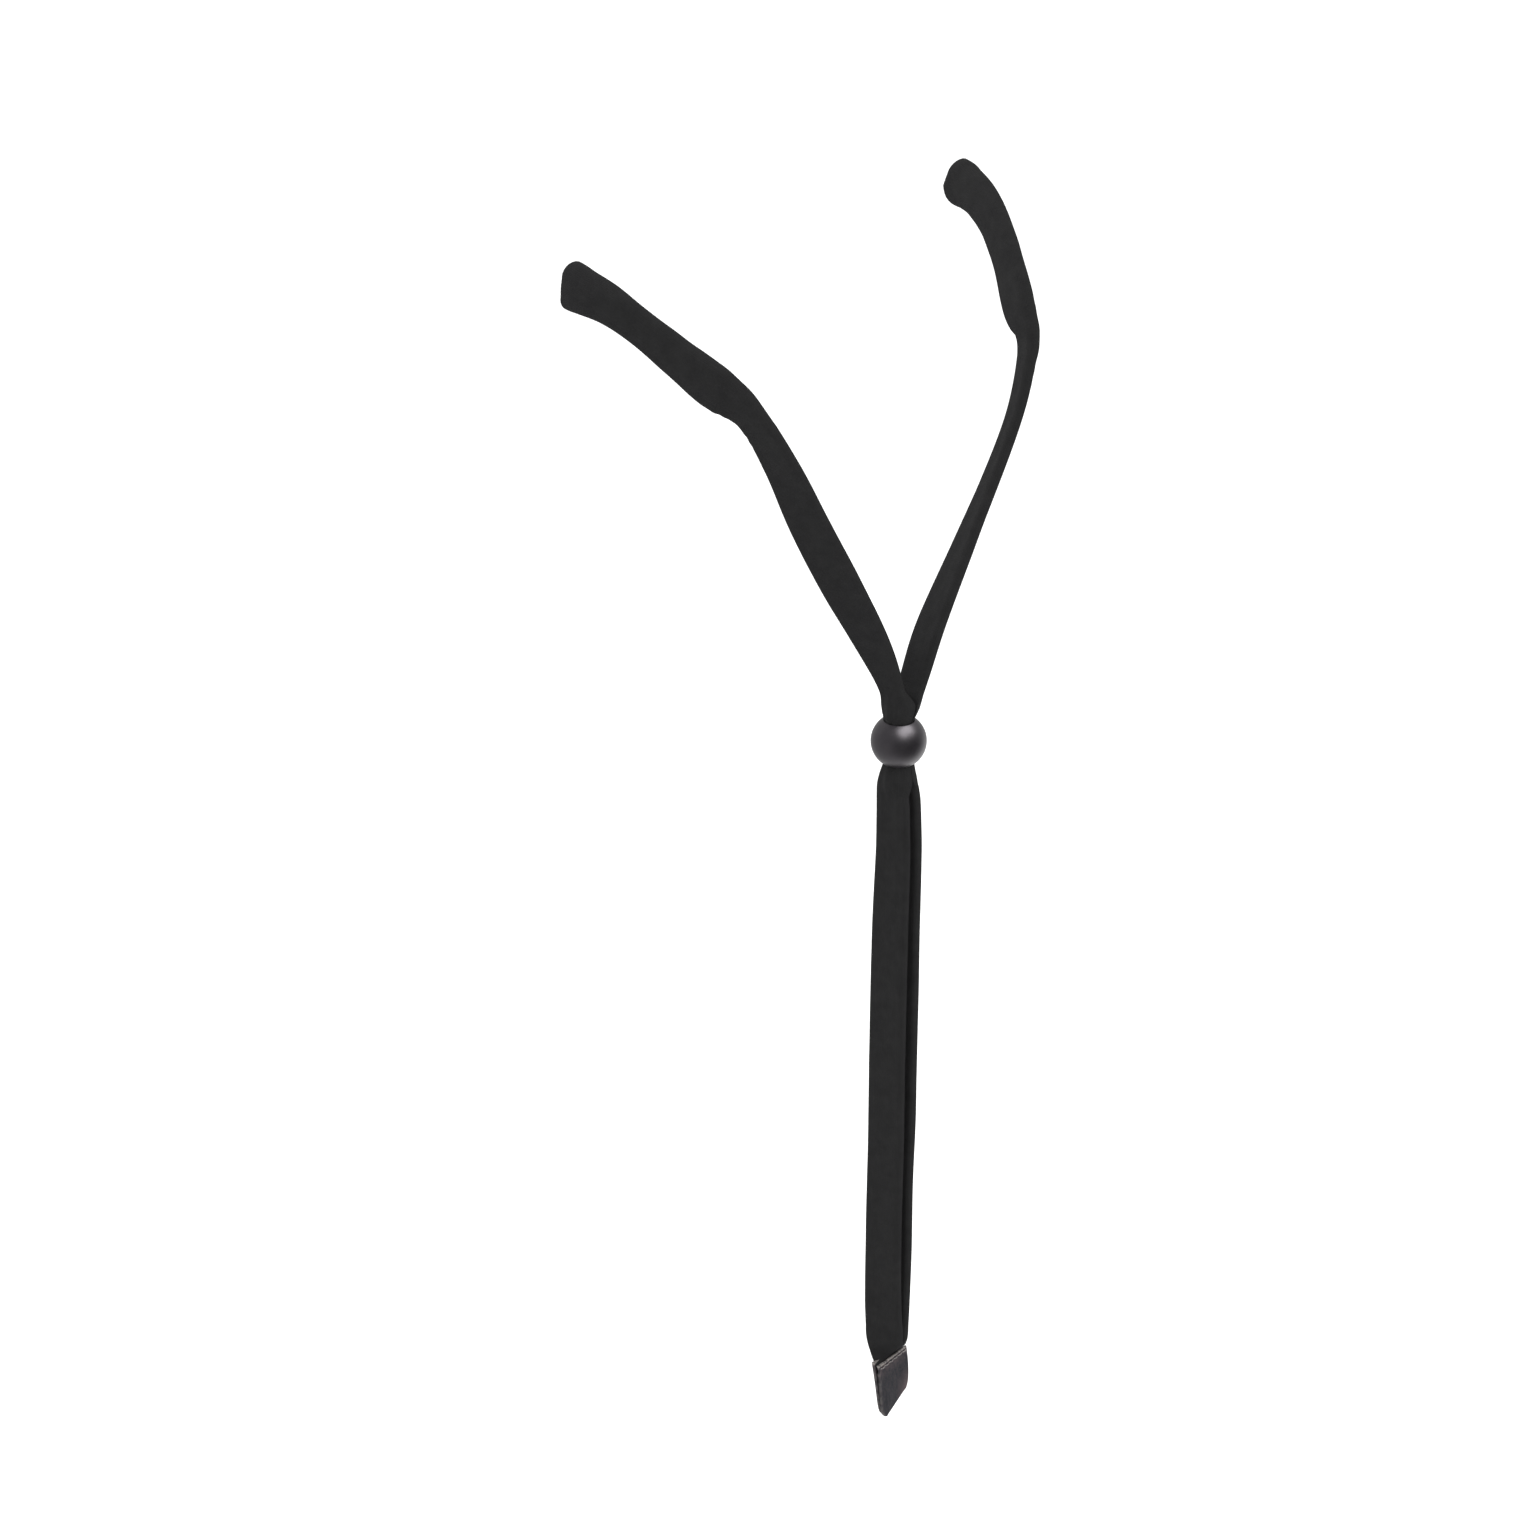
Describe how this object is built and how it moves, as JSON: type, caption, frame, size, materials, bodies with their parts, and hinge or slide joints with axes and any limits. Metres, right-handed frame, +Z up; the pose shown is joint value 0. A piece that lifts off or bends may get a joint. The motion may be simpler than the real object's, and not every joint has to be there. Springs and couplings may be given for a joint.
{
  "type": "eyeglass retainer strap",
  "caption": "Knit eyeglass retainer: open sleeves grip the temple tips, and the strap's two halves run through a sliding bead down to a folded label.",
  "frame": {"origin": "midway between the mouths of the two sleeves", "axes": "+Y forward to the lenses, out of the sleeve mouths; +X to the wearer's right; +Z up, and the strap hangs along -Z"},
  "size_m": [0.1423, 0.0658, 0.3595],
  "materials": {
    "knit": "fine charcoal jersey knit",
    "bead": "satin dark gunmetal",
    "label": "woven navy charcoal",
    "thread": "grey-brown sewing thread"
  },
  "bodies": {
    "sleeves": {"left_sleeve": "knit", "right_sleeve": "knit"},
    "yoke": {"left_upper_strap": "knit", "right_upper_strap": "knit"},
    "bead": {"slider_bead": "bead"},
    "tail": {"left_lower_strap": "knit", "right_lower_strap": "knit"},
    "strap_end": {"strap_fold": "knit", "label_needle_thread": "thread", "label_bobbin_thread": "thread"},
    "label": {"label": "label"}
  },
  "joints": [
    {"name": "strap_swing", "type": "hinge", "parent": "sleeves", "child": "yoke", "pos_m": [0, -0.052, -0.029], "axis": [1, 0, 0], "range_deg": [-40, 40], "deforming": ["left_upper_strap", "right_upper_strap"]},
    {"name": "bead_slide", "type": "slide", "parent": "yoke", "child": "bead", "axis": [0, 0, -1], "range_m": [-0.04, 0.1]},
    {"name": "tail_sway", "type": "hinge", "parent": "bead", "child": "tail", "pos_m": [0, -0.057, -0.1405], "axis": [0, 1, 0], "range_deg": [-30, 30]},
    {"name": "strap_run", "type": "slide", "parent": "tail", "child": "strap_end", "axis": [0, 0, -1], "range_m": [-0.1, 0.04], "deforming": ["left_lower_strap", "right_lower_strap"]},
    {"name": "label_flap", "type": "hinge", "parent": "strap_end", "child": "label", "pos_m": [-0.0006, -0.0574, -0.3346], "axis": [0.9659, 0.2588, 0], "range_deg": [-40, 40], "deforming": ["label"]}
  ],
  "couplings": [
    {"joint": "strap_run", "follows": "bead_slide", "ratio": -1}
  ]
}
